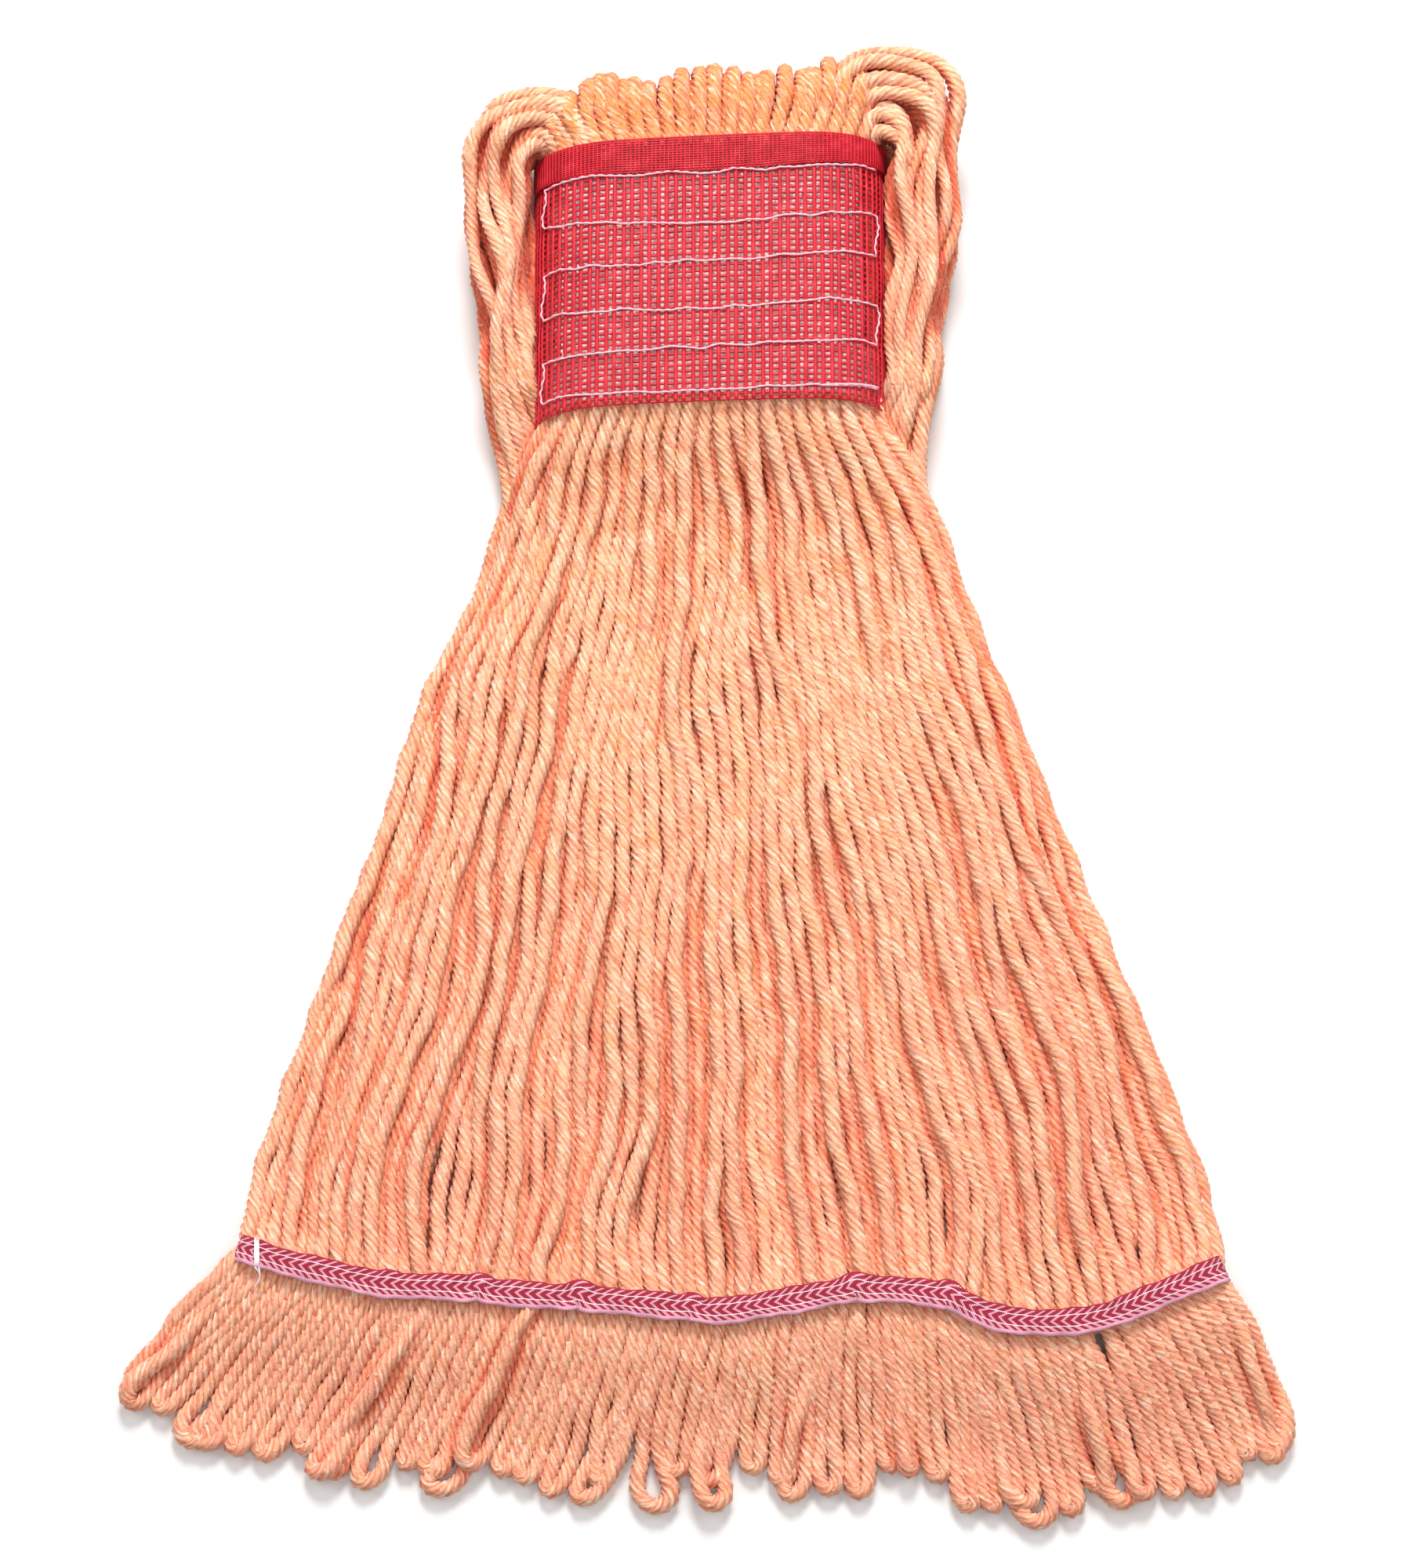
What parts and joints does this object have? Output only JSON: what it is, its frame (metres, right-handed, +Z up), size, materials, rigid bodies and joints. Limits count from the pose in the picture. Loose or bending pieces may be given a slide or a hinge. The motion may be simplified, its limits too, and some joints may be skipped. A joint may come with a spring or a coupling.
{
  "type": "string mop",
  "caption": "Looped-end wet mop head: twisted yarn folded over at a stitched mesh headband, spread by a woven tail tape on each half.",
  "frame": {"origin": "middle of the bounding box's base, on the surface that the mop lies on", "axes": "+X across the headband to the right seen from above with the fringe towards the viewer, +Y from the fringe towards the top fold, +Z up through the front face"},
  "size_m": [0.4935, 0.66, 0.0505],
  "materials": {
    "yarn": "matt four-ply blended cotton and synthetic yarn, orange-peach",
    "mesh": "vinyl-coated open mesh, red, soft sheen",
    "thread": "pale pink polyester sewing thread",
    "tack_thread": "white polyester sewing thread",
    "tape": "half-inch woven herringbone tape, crimson and pink"
  },
  "bodies": {
    "headband": {"core_yarn_1": "yarn", "core_yarn_2": "yarn", "core_yarn_3": "yarn", "core_yarn_4": "yarn", "fold_wrap_1": "yarn", "fold_wrap_2": "yarn", "fold_wrap_3": "yarn", "fold_wrap_4": "yarn", "fold_corner_left": "yarn", "fold_corner_right": "yarn", "headband_front_panel": "mesh", "headband_back_panel": "mesh", "headband_top_hem": "mesh", "headband_stitch_thread": "thread", "headband_backtack": "thread"},
    "front_half": {"front_lock_1": "yarn", "front_lock_2": "yarn", "front_lock_3": "yarn", "front_lock_4": "yarn", "front_lock_5": "yarn", "front_lock_6": "yarn", "front_lock_7": "yarn", "front_lock_8": "yarn", "front_fringe_1": "yarn", "front_fringe_2": "yarn", "front_fringe_3": "yarn", "front_fringe_4": "yarn", "front_fringe_5": "yarn", "front_fringe_6": "yarn", "front_fringe_7": "yarn", "front_fringe_8": "yarn", "front_tail_tape_top": "tape", "front_tail_tape_under": "tape", "front_bar_tack": "tack_thread"},
    "back_upper": {"back_upper_yarn_1": "yarn", "back_upper_yarn_2": "yarn", "back_upper_yarn_3": "yarn", "back_upper_yarn_4": "yarn", "back_shoulder_left": "yarn", "back_shoulder_right": "yarn"},
    "back_half": {"back_lock_1": "yarn", "back_lock_2": "yarn", "back_lock_3": "yarn", "back_lock_4": "yarn", "back_lock_5": "yarn", "back_lock_6": "yarn", "back_fringe_1": "yarn", "back_fringe_2": "yarn", "back_fringe_3": "yarn", "back_fringe_4": "yarn", "back_fringe_5": "yarn", "back_fringe_6": "yarn", "back_tail_tape_top": "tape", "back_tail_tape_under": "tape"}
  },
  "joints": [
    {"name": "front_half_swing", "type": "hinge", "parent": "headband", "child": "front_half", "pos_m": [0, 0.159, 0.0475], "axis": [-1, 0, 0], "range_deg": [0, 75]},
    {"name": "top_fold_open", "type": "hinge", "parent": "headband", "child": "back_upper", "pos_m": [0, 0.2825, 0.0172], "axis": [1, 0, 0], "range_deg": [0, 180], "deforming": ["fold_wrap_1", "fold_wrap_2", "fold_wrap_3", "fold_wrap_4", "fold_corner_left", "fold_corner_right"]},
    {"name": "back_half_swing", "type": "hinge", "parent": "back_upper", "child": "back_half", "pos_m": [0, 0.158, 0], "axis": [1, 0, 0], "range_deg": [0, 75]}
  ]
}
